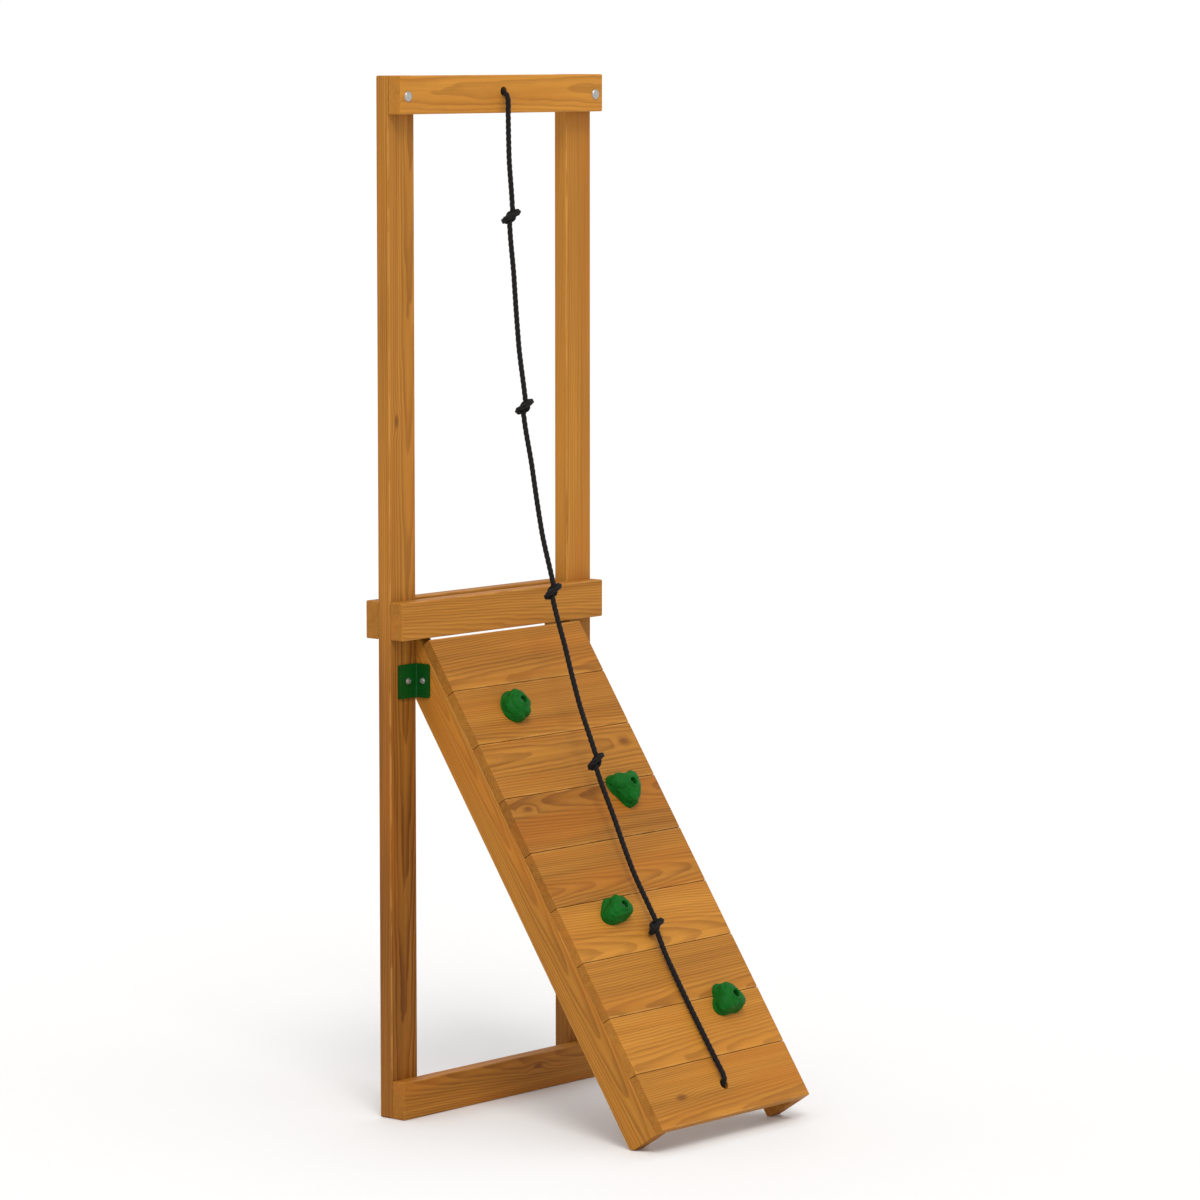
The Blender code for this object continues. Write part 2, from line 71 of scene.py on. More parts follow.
# Each pattern's scale along the grain and twice across it, per metre.
SWAY = (2.2, 9.0, 9.0)
RIPPLE = (9.0, 30.0, 30.0)
STREAK = (1.3, 95.0, 95.0)
PATCH = (1.6, 16.0, 16.0)
FIBRE = (28.0, 950.0, 950.0)
WARMTH = (1.5, 16.0, 16.0)
RUB = (14.0, 60.0, 60.0)
PALE_STAIN = (0.560, 0.238, 0.0290, 1)
DARK_STAIN = (0.132, 0.040, 0.0030, 1)
WARM_STAIN = (0.410, 0.125, 0.0090, 1)
END_STAIN = (0.130, 0.045, 0.0080, 1)
# Edge colour: partly rubbed-off stain, partly a painted highlight on the eased edges.
RUBBED_WOOD_AND_HIGHLIGHT = (0.600, 0.300, 0.0750, 1)
KNOT_STAIN = (0.150, 0.050, 0.0065, 1)
KNOT_STRETCH = 0.4
# Each board's own shade, and its knots as (along the grain, up the slope, radius).
BOARD_TONES = (0.40, 0.26, 0.54, 0.36, 0.70, 0.90, 0.64, 0.60, 0.66)
BOARD_KNOTS = {
    1: ((-0.16, -0.006, 0.007),),
    6: ((-0.21, 0.038, 0.005),),
    7: ((0.22, 0.026, 0.006),),
}

# Rope.
ROPE_DIAMETER = 0.013
ROPE_LAY = 0.042
ROPE_STEP = 0.003
ROPE_SIDES = 24
ROPE_GROOVE = 0.24
YARNS_ROUND = 21.0
KNOT_HEIGHTS = (2.107, 1.661, 1.230, 0.838, 0.468)
KNOT_ROLLS = (50, 60, 42, 56, 15)
KNOT_REACH = 0.052
KNOT_HALF_HEIGHT = 0.018
KNOT_SPREAD = 0.150
KNOT_POINTS = 150
# The loose knot that is pulled tight: its curve's half range and its size in rope diameters.
LOOSE_RANGE = 2.15
LOOSE_SIZE = (0.80, 0.62, 0.36)
TIGHTEN_STEPS = 900
TIGHTEN_RATE = 0.25
PUSH_RATE = 0.5
RESPACE_EVERY = 5
# Turns nearer than this along the rope, in diameters, don't push each other.
NO_PUSH_REACH = 1.5
TAIL_LENGTH = 0.020
# The rope's line in the plane X = 0, as (Y, Z), from the top beam's back face to the
# foot board's back face.
ROPE_ROUTE = (
    (0.0190, 2.4000), (0.0000, 2.4000), (-0.0110, 2.4000), (-0.0220, 2.3970),
    (-0.0301, 2.3890), (-0.0330, 2.3780), (-0.0332, 2.3500), (-0.0340, 2.3000),
    (-0.0372, 2.2000), (-0.0418, 2.1000), (-0.0478, 2.0000), (-0.0556, 1.9000),
    (-0.0654, 1.8000), (-0.0770, 1.7000), (-0.0917, 1.6000), (-0.1095, 1.5000),
    (-0.1290, 1.4000), (-0.1520, 1.3000), (-0.1785, 1.2000), (-0.2083, 1.1000),
    (-0.2410, 1.0000), (-0.2780, 0.9000), (-0.3190, 0.8000), (-0.3630, 0.7000),
    (-0.4110, 0.6000), (-0.4650, 0.5040), (-0.4870, 0.4680), (-0.5180, 0.4040),
    (-0.5535, 0.3430), (-0.5975, 0.2760), (-0.6420, 0.2100), (-0.6700, 0.1690),
    (-0.6880, 0.1425), (-0.6915, 0.1325), (-0.6895, 0.1223), (-0.6826, 0.1146),
    (-0.6697, 0.1060),
)

# Rock holds. The skin moves in by up to these depths, but stays put near the bolt.
HOLD_COUNT = 4
HOLD_VOXEL = 0.0013
FACET_SCALE = 26
FACET_DENT = 0.0032
BUMP_SCALE = 95
BUMP_DENT = 0.0016
GRAIN_SCALE = 420
GRAIN_DENT = 0.0006
BOLT_CLEAR = 0.0125
BOLT_CLEAR_FADE = 0.006
GROOVE_DENT = 0.0075
GROOVE_LIFT = 0.36
GROOVE_SPREAD = 0.17

# Metal.
FASTENER_SIDES = 24
SKIN_GAP = 0.0003
THREAD_PITCH = 0.0016
THREAD_LENGTH = 0.026
THREAD_ROOT_SHARE = 0.86
THREAD_TIP_SHARE = 0.8
SHARP_EDGE = math.radians(40)
BOLT_RADIUS = 0.0048
BOLT_HEAD_RADIUS = 0.0125
BOLT_HEAD_HEIGHT = 0.0055
NUT_RADIUS = 0.0098
NUT_HEIGHT = 0.0085
NUT_FLANGE_RADIUS = 0.0135
NUT_FLANGE = 0.002
NUT_CHAMFER_HEIGHT = 0.0014
NUT_CHAMFER_WIDTH = 0.0013
NUT_EASE = 0.0008
LAG_RADIUS = 0.0038
LAG_HEAD_RADIUS = 0.0075
LAG_HEAD_HEIGHT = 0.0045
LAG_HEX_RADIUS = 0.0062
LAG_WASHER = 0.0012
LAG_PLAIN_SHARE = 0.35
LAG_TIP_GAP = 0.002
CAP_HEAD_RADIUS = 0.0080
CAP_HEAD_HEIGHT = 0.0090
SOCKET_RADIUS = 0.0045
SOCKET_DEPTH = 0.005
LAG_CHAMFER_HEIGHT = 0.0008
LAG_CHAMFER_WIDTH = 0.0010
CAP_CHAMFER = 0.0007
BRACKET_THICK = 0.004
BRACKET_BEND = 0.003
BRACKET_CORNER = 0.007
BRACKET_STEPS = 7
BOARD_SCREW_RADIUS = 0.0040
# A deck screw's head: share of its radius, and height over the board.
BOARD_SCREW_HEAD = (
    (0.50, -0.0030), (1.0, -0.0004), (1.0, 0.0001), (0.88, 0.0004), (0.42, 0.0003), (0.36, -0.0014),
)
BOARD_SCREW_ASTRAY = 0.0015
BOARD_SCREW_SPREAD = 0.045
RAIL_X = 0.2515

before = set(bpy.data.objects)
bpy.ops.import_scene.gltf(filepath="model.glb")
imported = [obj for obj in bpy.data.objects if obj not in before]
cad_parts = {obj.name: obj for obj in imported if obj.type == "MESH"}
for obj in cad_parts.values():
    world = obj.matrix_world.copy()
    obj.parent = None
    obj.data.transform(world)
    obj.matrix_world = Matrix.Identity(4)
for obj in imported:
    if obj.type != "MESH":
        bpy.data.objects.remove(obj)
cad_low, cad_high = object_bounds()
MIDDLE = (cad_low + cad_high) / 2


# ---- Camera, light and floor -------------------------------------------------------------


def add_to_scene(obj):
    bpy.context.scene.collection.objects.link(obj)
    return obj


def make_camera():
    data = bpy.data.cameras.new("camera")
    data.lens = CAMERA_LENS
    data.clip_end = 200
    camera = add_to_scene(bpy.data.objects.new("camera", data))
    camera.location = CAMERA_PLACE
    camera.rotation_euler = (MIDDLE - CAMERA_PLACE).to_track_quat("-Z", "Y").to_euler()
    bpy.context.scene.camera = camera


def make_light():
    sun = bpy.data.lights.new("key", "SUN")
    sun.energy = KEY_STRENGTH
    sun.angle = KEY_ANGLE
    sun.color = (1.0, 0.975, 0.94)
    key = add_to_scene(bpy.data.objects.new("key", sun))
    key.rotation_euler = KEY_DIRECTION.to_track_quat("-Z", "Y").to_euler()
    world = bpy.data.worlds.new("studio")
    world.use_nodes = True
    background = world.node_tree.nodes["Background"]
    background.inputs["Color"].default_value = (1.0, 1.0, 1.0, 1.0)
    background.inputs["Strength"].default_value = SKY_STRENGTH
    bpy.context.scene.world = world
    bpy.context.scene.view_settings.view_transform = "Standard"


def make_floor():
    shape = bmesh.new()
    bmesh.ops.create_grid(shape, x_segments=8, y_segments=8, size=FLOOR_HALF)
    mesh = bpy.data.meshes.new("floor")
    shape.to_mesh(mesh)
    shape.free()
    floor = add_to_scene(bpy.data.objects.new("floor", mesh))
    floor.location.z = -FLOOR_DROP
    material, graph, shader = new_material("pale_floor")
    speckle = graph.noise(graph.object_place(), 35.0, detail=3.0)
    colour = graph.mix(speckle, (0.73, 0.73, 0.73, 1), (0.75, 0.75, 0.75, 1))
    graph.feed(shader.inputs["Base Color"], colour)
    shader.inputs["Roughness"].default_value = 0.75
    floor.data.materials.append(material)


# ---- Node graphs -------------------------------------------------------------------------


class Graph:
    """A shader's node tree, with short calls that add a node and feed its inputs."""

    def __init__(self, tree):
        self.tree = tree

    def feed(self, socket, value):
        if isinstance(value, bpy.types.NodeSocket):
            self.tree.links.new(value, socket)
        else:
            socket.default_value = value

    def node(self, kind, inputs, **settings):
        made = self.tree.nodes.new(kind)
        for key, value in settings.items():
            setattr(made, key, value)
        for key, value in inputs.items():
            self.feed(made.inputs[key], value)
        return made

    def math(self, operation, *values, clamp=False):
        inputs = dict(enumerate(values))
        return self.node("ShaderNodeMath", inputs, operation=operation, use_clamp=clamp).outputs[0]

    def vector(self, operation, *values):
        inputs = dict(enumerate(values))
        made = self.node("ShaderNodeVectorMath", inputs, operation=operation)
        scalar = operation in ("LENGTH", "DOT_PRODUCT", "DISTANCE")
        return made.outputs["Value" if scalar else "Vector"]

    def split(self, vector):
        return self.node("ShaderNodeSeparateXYZ", {0: vector}).outputs

    def join(self, x, y, z):
        return self.node("ShaderNodeCombineXYZ", {0: x, 1: y, 2: z}).outputs[0]

    def noise(self, vector, scale, detail=2.0, roughness=0.5):
        inputs = {"Vector": vector, "Scale": scale, "Detail": detail, "Roughness": roughness}
        return self.node("ShaderNodeTexNoise", inputs).outputs["Fac"]

    def stretched(self, vector, stretch, detail=2.0):
        """Noise whose scale differs along each axis."""
        return self.noise(self.vector("MULTIPLY", vector, stretch), 1.0, detail=detail)

    def cells(self, vector, scale):
        inputs = {"Vector": vector, "Scale": scale}
        return self.node("ShaderNodeTexVoronoi", inputs).outputs["Distance"]

    def fade(self, value, start, end, low=0.0, high=1.0):
        """A smooth step from low at start to high at end."""
        inputs = {0: value, 1: start, 2: end, 3: low, 4: high}
        made = self.node("ShaderNodeMapRange", inputs, interpolation_type="SMOOTHSTEP")
        return made.outputs[0]

    def mix(self, factor, first, second):
        made = self.node("ShaderNodeMix", {}, data_type="RGBA")
        self.feed(made.inputs[0], factor)
        self.feed(made.inputs[6], first)
        self.feed(made.inputs[7], second)
        return made.outputs[2]

    def bump(self, height, distance, strength):
        inputs = {"Height": height, "Distance": distance, "Strength": strength}
        return self.node("ShaderNodeBump", inputs).outputs["Normal"]

    def object_place(self):
        return self.node("ShaderNodeTexCoord", {}).outputs["Object"]

    def normal(self):
        return self.node("ShaderNodeNewGeometry", {}).outputs["Normal"]


def new_material(name):
    material = bpy.data.materials.new(name)
    material.use_nodes = True
    graph = Graph(material.node_tree)
    return material, graph, material.node_tree.nodes["Principled BSDF"]


# ---- Wood --------------------------------------------------------------------------------


def wood_grid(along, wide):
    """The turn of a timber's own axes: along the grain, across the wide face, through."""
    along, wide = Vector(along), Vector(wide)
    return Matrix((along, wide, along.cross(wide))).transposed()


def wood_material(name, centre, grid, half, tone, seed, knots=(), foot=0.0):
    """Stained softwood with growth rings that run right through the timber.

    half is the timber's half length, width and thickness. tone is its own shade, from 0,
    pale, to 1, dark. A knot is (along the grain, across the wide face, radius). foot says
    how much painted shade darkens the timber's lower end.
    """
    material, graph, shader = new_material(name)
    pick = np.random.default_rng(seed)
    place = graph.node(
        "ShaderNodeMapping",
        {"Vector": graph.object_place(), "Location": centre, "Rotation": grid.to_euler()},
        vector_type="TEXTURE",
    ).outputs[0]
    shifted = graph.vector("ADD", place, tuple(pick.uniform(2, 9, 3)))
    x, y, z = graph.split(place)

    # The heart of the tree lies behind the wide face and slants a little along the timber.
    heart = (pick.choice((-1, 1)) * pick.uniform(0.015, 0.075), -pick.uniform(0.035, 0.080))
    lean = (pick.uniform(-0.020, 0.020), pick.choice((-1, 1)) * pick.uniform(0.010, 0.040))
    sway = graph.stretched(shifted, SWAY)
    ripple = graph.stretched(shifted, RIPPLE)
    across = graph.math("MULTIPLY_ADD", x, lean[0], graph.math("SUBTRACT", y, heart[0]))
    across = graph.math("MULTIPLY_ADD", sway, 0.020, across)
    through = graph.math("MULTIPLY_ADD", x, lean[1], graph.math("SUBTRACT", z, heart[1]))
    through = graph.math("MULTIPLY_ADD", ripple, 0.004, through)
    knot_core = 0.0
    for along_knot, across_knot, radius in knots:
        spot = graph.join(graph.math("MULTIPLY", x, KNOT_STRETCH), y, 0.0)
        away = graph.vector("DISTANCE", spot, (along_knot * KNOT_STRETCH, across_knot, 0.0))
        bulge = graph.fade(away, radius * 4.0, radius * 0.5, 0.0, 0.005)
        through = graph.math("ADD", through, bulge)
        core = graph.fade(away, radius * 1.6, radius * 0.4, 0.0, 0.8)
        knot_core = graph.math("MAXIMUM", knot_core, core)
    radius = graph.vector("LENGTH", graph.join(0.0, across, through))

    # Late wood is a dark line that builds up slowly and ends sharply.
    ring = graph.math("FRACT", graph.math("DIVIDE", radius, RING_SPACING))
    late = graph.math("MULTIPLY", graph.fade(ring, 0.25, 0.88), graph.fade(ring, 1.0, 0.93))
    streak = graph.stretched(shifted, STREAK, detail=3.0)
    patch = graph.stretched(shifted, PATCH)
    fibre = graph.stretched(shifted, FIBRE)
    depth = graph.math("MULTIPLY_ADD", late, 0.24, 0.50 * tone - 0.34)
    depth = graph.math("MULTIPLY_ADD", streak, 0.50, depth)
    depth = graph.math("MULTIPLY_ADD", patch, 0.36, depth)
    depth = graph.math("MULTIPLY_ADD", fibre, 0.16, depth)
    # Painted shade: the lower end is darkened, on the posts below the mid beam.
    depth = graph.math("ADD", depth, graph.fade(x, 0.05, -0.25, 0.0, foot), clamp=True)
    colour = graph.mix(depth, PALE_STAIN, DARK_STAIN)
    warm = graph.stretched(shifted, WARMTH)
    colour = graph.mix(graph.fade(warm, 0.45, 0.70, 0.0, 0.35), colour, WARM_STAIN)
    colour = graph.mix(knot_core, colour, KNOT_STAIN)

    # Cut ends drink more stain, and rubbed edges lose some of it; the pale corners are also a painted
    # highlight along the eased edges.
    along_axis = tuple(grid.col[0])
    end = graph.math("ABSOLUTE", graph.vector("DOT_PRODUCT", graph.normal(), along_axis))
    end = graph.fade(end, 0.80, 0.98, 0.0, 0.20)
    colour = graph.mix(end, colour, END_STAIN)
    from_side = graph.math("SUBTRACT", half[1], graph.math("ABSOLUTE", y))
    from_face = graph.math("SUBTRACT", half[2], graph.math("ABSOLUTE", z))
    corner = graph.vector("LENGTH", graph.join(from_side, from_face, 0.0))
    rub = graph.stretched(shifted, RUB, detail=3.0)
    # Painted highlight and wear: every eased edge is paler, more so where the rub noise is high.
    wear = graph.math(
        "MULTIPLY", graph.fade(corner, 0.0050, 0.0015), graph.fade(rub, 0.42, 0.62, 0.04, 0.32)
    )
    colour = graph.mix(wear, colour, RUBBED_WOOD_AND_HIGHLIGHT)
    graph.feed(shader.inputs["Base Color"], colour)

    gloss = graph.math("MULTIPLY_ADD", streak, 0.22, 0.50)
    graph.feed(shader.inputs["Roughness"], graph.math("MULTIPLY_ADD", end, 0.5, gloss))
    height = graph.math("MULTIPLY_ADD", fibre, 0.55, graph.math("MULTIPLY", late, 0.45))
    graph.feed(shader.inputs["Normal"], graph.bump(height, 0.0006, 0.55))
    shader.inputs["Specular IOR Level"].default_value = 0.17
    return material


def finish_node(name, material):
    """Gives a carried-over CAD node its material."""
    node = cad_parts[name]
    node.data.materials.clear()
    node.data.materials.append(material)


def finish_straight_timber(name, along, tone, seed, knots=(), foot=0.0):
    """A post or beam: its own axes are the model's axes."""
    low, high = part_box(name)
    size = high - low
    wide = (1, 0, 0) if along == "Z" else (0, 0, 1)
    direction = (0, 0, 1) if along == "Z" else (1, 0, 0)
    length, width = (size.z, size.x) if along == "Z" else (size.x, size.z)
    half = (length / 2, width / 2, size.y / 2)
    grid = wood_grid(direction, wide)
    finish_node(name, wood_material(name, (low + high) / 2, grid, half, tone, seed, knots, foot))


def sloping_section(low, high):
    """The width up the slope and the thickness of a board, from its upright box."""
    sine, cosine = math.sin(SLOPE), math.cos(SLOPE)
    size = high - low
    spread = sine * sine - cosine * cosine
    wide = (size.z * sine - size.y * cosine) / spread
    thick = (size.y * sine - size.z * cosine) / spread
    return wide, thick


def board_shape(index):
    """A board's middle, width up the slope, and thickness."""
    low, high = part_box(f"board_{index}")
    wide, thick = sloping_section(low, high)
    return (low + high) / 2, wide, thick


def finish_timbers():
    # The posts' foot darkening is painted shade under the mid beam.
    finish_straight_timber("left_post", "Z", 0.52, 11, ((0.42, -0.02, 0.006),), foot=0.30)
    finish_straight_timber("right_post", "Z", 0.36, 12, foot=0.30)
    finish_straight_timber("top_beam", "X", 0.0, 13)
    finish_straight_timber("mid_beam_front", "X", 0.46, 14)
    finish_straight_timber("mid_beam_back", "X", 0.55, 15, ((-0.15, -0.01, 0.007),))
    finish_straight_timber("ground_beam", "X", 0.60, 16, ((0.12, 0.015, 0.006),))
    grid = wood_grid(UP_SLOPE, OUTWARD)
    for side, tone, seed in (("left", 0.50, 17), ("right", 0.55, 18)):
        name = f"{side}_rail"
        low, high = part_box(name)
        middle = (low + high) / 2
        half = ((high.z - low.z) / 2 / math.sin(SLOPE), RAIL_DEPTH / 2, (high.x - low.x) / 2)
        middle += OUTWARD * (half[1] - OUTWARD.dot(middle - PANEL_FOOT))
        finish_node(name, wood_material(name, middle, grid, half, tone, seed))


def finish_boards():
    grid = wood_grid((1, 0, 0), UP_SLOPE)
    for index in range(1, BOARD_COUNT + 1):
        name = f"board_{index}"
        middle, wide, thick = board_shape(index)
        low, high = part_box(name)
        half = ((high.x - low.x) / 2, wide / 2, thick / 2)
        tone, knots = BOARD_TONES[index - 1], BOARD_KNOTS.get(index, ())
        finish_node(name, wood_material(name, middle, grid, half, tone, 30 + index, knots))


# ---- Rope --------------------------------------------------------------------------------


def overhand_knot(diameter):
    """The centreline of an overhand knot, pulled tight along Z between its fixed ends.

    A loose knot shrinks like a rubber band until its turns lie on each other.
    """
    t = np.linspace(LOOSE_RANGE, -LOOSE_RANGE, KNOT_POINTS)
    line = np.stack([t**3 - 3 * t, t**4 - 4 * t**2 + 2, t**5 - 10 * t], axis=1)
    line *= np.array(LOOSE_SIZE) * diameter
    line[0] = (0, 0, KNOT_REACH)
    line[-1] = (0, 0, -KNOT_REACH)
    order = np.arange(KNOT_POINTS)
    for step in range(TIGHTEN_STEPS):
        if step % RESPACE_EVERY == 0:
            line = evenly_spaced(line, KNOT_POINTS)
        line[1:-1] += TIGHTEN_RATE * (line[:-2] + line[2:] - 2 * line[1:-1])
        spacing = np.linalg.norm(line[1] - line[0])
        neighbours = int(NO_PUSH_REACH * diameter / spacing) + 1
        offset = line[:, None] - line[None]
        distance = np.linalg.norm(offset, axis=2) + 1e-9
        near = (distance < diameter) & (abs(order[:, None] - order[None]) > neighbours)
        push = np.where(near, (diameter - distance) / distance, 0)[..., None] * offset
        touching = np.maximum(near.sum(axis=1), 1)[:, None]
        line[1:-1] += (PUSH_RATE * push.sum(axis=1) / touching)[1:-1]
    return evenly_spaced(line, KNOT_POINTS)


def long_tails(knot):
    """The knot with its ends led back to the rope's own line over a long stretch.

    The rope enters and leaves beside the knot's middle, and a taut rope hardly bends there.
    """
    edge = KNOT_HALF_HEIGHT + ROPE_STEP
    body = knot[np.abs(knot[:, 2]) < edge]
    beyond = np.arange(edge + ROPE_STEP, KNOT_SPREAD, ROPE_STEP)
    share = (beyond - edge) / (KNOT_SPREAD - edge)
    fade = 1 - share**2 * (3 - 2 * share)
    tails = []
    for end, sign in ((body[0], 1), (body[-1], -1)):
        tails.append(np.stack([end[0] * fade, end[1] * fade, sign * beyond], axis=1))
    return np.concatenate([tails[0][::-1], body, tails[1]])


def lengths_along(line):
    steps = np.linalg.norm(np.diff(line, axis=0), axis=1)
    return np.concatenate([[0.0], np.cumsum(steps)])


def evenly_spaced(line, count):
    run = lengths_along(line)
    marks = np.linspace(0, run[-1], count)
    return np.stack([np.interp(marks, run, line[:, axis]) for axis in range(3)], axis=1)


def spline_point(points, knots, t):
    """One point of a centripetal Catmull-Rom span."""
    level = list(points)
    for reach in (1, 2, 3):
        blended = []
        for i in range(len(level) - 1):
            if reach == 3:
                low, high = knots[1], knots[2]
            elif reach == 2:
                low, high = knots[i], knots[i + 2]
            else:
                low, high = knots[i], knots[i + 1]
            share = (t - low) / (high - low)
            blended.append(level[i] * (1 - share) + level[i + 1] * share)
        level = blended
    return level[0]


def smooth_route(route, step):
    """Points on a smooth curve through the route, about a step apart."""
    points = [np.array((0.0, y, z)) for y, z in route]
    padded = [2 * points[0] - points[1], *points, 2 * points[-1] - points[-2]]
    result = []
    for before, start, end, after in zip(padded, padded[1:], padded[2:], padded[3:]):
        spans = ((before, start), (start, end), (end, after))
        knots = np.cumsum([0] + [np.linalg.norm(b - a) ** 0.5 for a, b in spans])
        count = max(1, round(float(np.linalg.norm(end - start)) / step))
        for i in range(count):
            t = knots[1] + (knots[2] - knots[1]) * i / count
            result.append(spline_point((before, start, end, after), knots, t))
    result.append(points[-1])
    return np.array(result)


def tie_knot(line, middle_run, knot, roll):
    """The line with a knot tied in it: the knot's Z runs against the line, centred there."""
    run = lengths_along(line)
    tangents = np.gradient(line, run, axis=0)
    turn = math.radians(roll)
    side = knot[:, 0] * math.cos(turn) - knot[:, 1] * math.sin(turn)
    front = knot[:, 0] * math.sin(turn) + knot[:, 1] * math.cos(turn)
    marks = middle_run - knot[:, 2]
    base = np.stack([np.interp(marks, run, line[:, axis]) for axis in range(3)], axis=1)
    ahead = np.stack([np.interp(marks, run, tangents[:, axis]) for axis in range(3)], axis=1)
    ahead /= np.linalg.norm(ahead, axis=1)[:, None]
    across = np.array((1.0, 0.0, 0.0))
    forward = np.cross(ahead, across)
    tied = base + side[:, None] * across + front[:, None] * forward
    before = line[run < marks[0] - ROPE_STEP / 2]
    after = line[run > marks[-1] + ROPE_STEP / 2]
    return np.concatenate([before, tied, after])


def run_at_height(line, height):
    """How far along the falling line it first passes this height."""
    run = lengths_along(line)
    below = int(np.argmax(line[:, 2] < height))
    share = (line[below - 1, 2] - height) / (line[below - 1, 2] - line[below, 2])
    return run[below - 1] + share * (run[below] - run[below - 1])


def rope_frames(line):
    """Two unit vectors across the line at each point, carried along it without a twist."""
    tangents = np.gradient(line, axis=0)
    tangents /= np.linalg.norm(tangents, axis=1)[:, None]
    first = np.cross(tangents[0], (1.0, 0.3, 0.2))
    sides = [first / np.linalg.norm(first)]
    for tangent in tangents[1:]:
        side = sides[-1] - tangent * np.dot(sides[-1], tangent)
        sides.append(side / np.linalg.norm(side))
    sides = np.array(sides)
    return sides, np.cross(tangents, sides)


def rope_mesh(name, line, phase=0.0):
    """Three strands laid round each other, as one closed skin that follows the line."""
    run = lengths_along(line)
    sides, fronts = rope_frames(line)
    around = np.arange(ROPE_SIDES) * 2 * math.pi / ROPE_SIDES
    bulge = np.abs(np.cos(1.5 * around)) ** 0.75
    radius = ROPE_DIAMETER / 2 * (1 - ROPE_GROOVE + ROPE_GROOVE * bulge)
    angle = around[None] + 2 * math.pi * (run[:, None] / ROPE_LAY + phase)
    points = (
        line[:, None]
        + (radius * np.cos(angle))[..., None] * sides[:, None]
        + (radius * np.sin(angle))[..., None] * fronts[:, None]
    )
    shape = bmesh.new()
    map_layer = shape.loops.layers.uv.new("rope_run")
    rings = [[shape.verts.new(point) for point in ring] for ring in points]
    for k in range(len(rings) - 1):
        for i in range(ROPE_SIDES):
            j = (i + 1) % ROPE_SIDES
            face = shape.faces.new((rings[k][i], rings[k][j], rings[k + 1][j], rings[k + 1][i]))
            face.smooth = True
            corners = ((k, i), (k, i + 1), (k + 1, i + 1), (k + 1, i))
            for loop, (row, column) in zip(face.loops, corners):
                loop[map_layer].uv = (column / ROPE_SIDES, run[row])
    shape.faces.new(list(reversed(rings[0])))
    shape.faces.new(rings[-1])
    mesh = bpy.data.meshes.new(name)
    shape.to_mesh(mesh)
    shape.free()
    return mesh


def rope_material():
    """Black spun synthetic fibre: yarns run along each strand, and stray fibres catch light."""
    material, graph, shader = new_material("black_rope")
    place = graph.node("ShaderNodeUVMap", {}, uv_map="rope_run").outputs[0]
    around, along, _ = graph.split(place)
    slant = graph.math("MULTIPLY_ADD", along, 1 / ROPE_LAY, around)
    wobble = graph.noise(graph.object_place(), 260.0, detail=2.0)
    yarn_place = graph.math("MULTIPLY_ADD", slant, YARNS_ROUND, graph.math("MULTIPLY", wobble, 0.8))
    yarn = graph.math("ABSOLUTE", graph.math("SINE", graph.math("MULTIPLY", yarn_place, math.pi)))
    strand = graph.math("ABSOLUTE", graph.math("COSINE", graph.math("MULTIPLY", around, 3 * math.pi)))
    fuzz = graph.noise(graph.object_place(), 1900.0, detail=2.0)
    wear = graph.noise(graph.object_place(), 22.0, detail=3.0)
    light = graph.math("MULTIPLY_ADD", yarn, 0.35, graph.math("MULTIPLY", fuzz, 0.40))
    light = graph.math("MULTIPLY_ADD", graph.fade(strand, 0.0, 0.55), 0.30, light)
    light = graph.math("MULTIPLY_ADD", wear, 0.25, light)
    colour = graph.mix(light, (0.0010, 0.0009, 0.0009, 1), (0.0110, 0.0098, 0.0095, 1))
    graph.feed(shader.inputs["Base Color"], colour)
    graph.feed(shader.inputs["Roughness"], graph.math("MULTIPLY_ADD", fuzz, 0.25, 0.55))
    height = graph.math("MULTIPLY_ADD", yarn, 0.7, graph.math("MULTIPLY", fuzz, 0.3))
    graph.feed(shader.inputs["Normal"], graph.bump(height, 0.0007, 0.8))
    shader.inputs["Specular IOR Level"].default_value = 0.12
    shader.inputs["Sheen Weight"].default_value = 0.03
    shader.inputs["Sheen Roughness"].default_value = 0.5
    return material


def make_rope():
    """The climbing rope with its five knots, and the stop knots on its two ends."""
    material = rope_material()
    knot = overhand_knot(ROPE_DIAMETER)
    line = smooth_route(ROPE_ROUTE, ROPE_STEP)
    top, foot = line[0].copy(), line[-1].copy()
    tied = long_tails(knot)
    for height, roll in zip(KNOT_HEIGHTS, KNOT_ROLLS):
        line = tie_knot(line, run_at_height(line, height), tied, roll)
    line = evenly_spaced(line, round(lengths_along(line)[-1] / ROPE_STEP))
    rope = add_to_scene(bpy.data.objects.new("climbing_rope", rope_mesh("climbing_rope", line)))
    stops = []
    ends = (
        ("stop_knot_top_tied", "stop_knot_top", top, np.array((0.0, 1.0, 0.0))),
        ("stop_knot_foot_tied", "stop_knot_foot", foot, -np.array(OUTWARD)),
    )
    for name, node, start, direction in ends:
        stop = add_to_scene(bpy.data.objects.new(name, stop_knot_mesh(name, knot, start, direction)))
        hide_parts(node)
        stops.append(stop)
    for piece in (rope, *stops):
        piece.data.materials.append(material)
        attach(piece, "root")
    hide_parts("rope", *(f"rope_knot_{k}" for k in range(1, len(KNOT_HEIGHTS) + 1)))


def stop_knot_mesh(name, knot, start, direction):
    """An overhand knot pulled up against the timber, with a short tail."""
    tied = knot[knot[:, 2] > -KNOT_HALF_HEIGHT - TAIL_LENGTH]
    tied = tied[tied[:, 2] < KNOT_HALF_HEIGHT + ROPE_DIAMETER / 2]
    along = KNOT_HALF_HEIGHT + ROPE_DIAMETER / 2 - tied[:, 2]
    drawn_in = np.clip(along / ROPE_DIAMETER, 0, 1)[:, None]
    side = np.array((1.0, 0.0, 0.0))
    front = np.cross(direction, side)
    offset = tied[:, :1] * side + tied[:, 1:2] * front
    line = start + along[:, None] * direction + drawn_in * offset
    return rope_mesh(name, evenly_spaced(line, round(lengths_along(line)[-1] / ROPE_STEP)))


# ---- Rock holds --------------------------------------------------------------------------


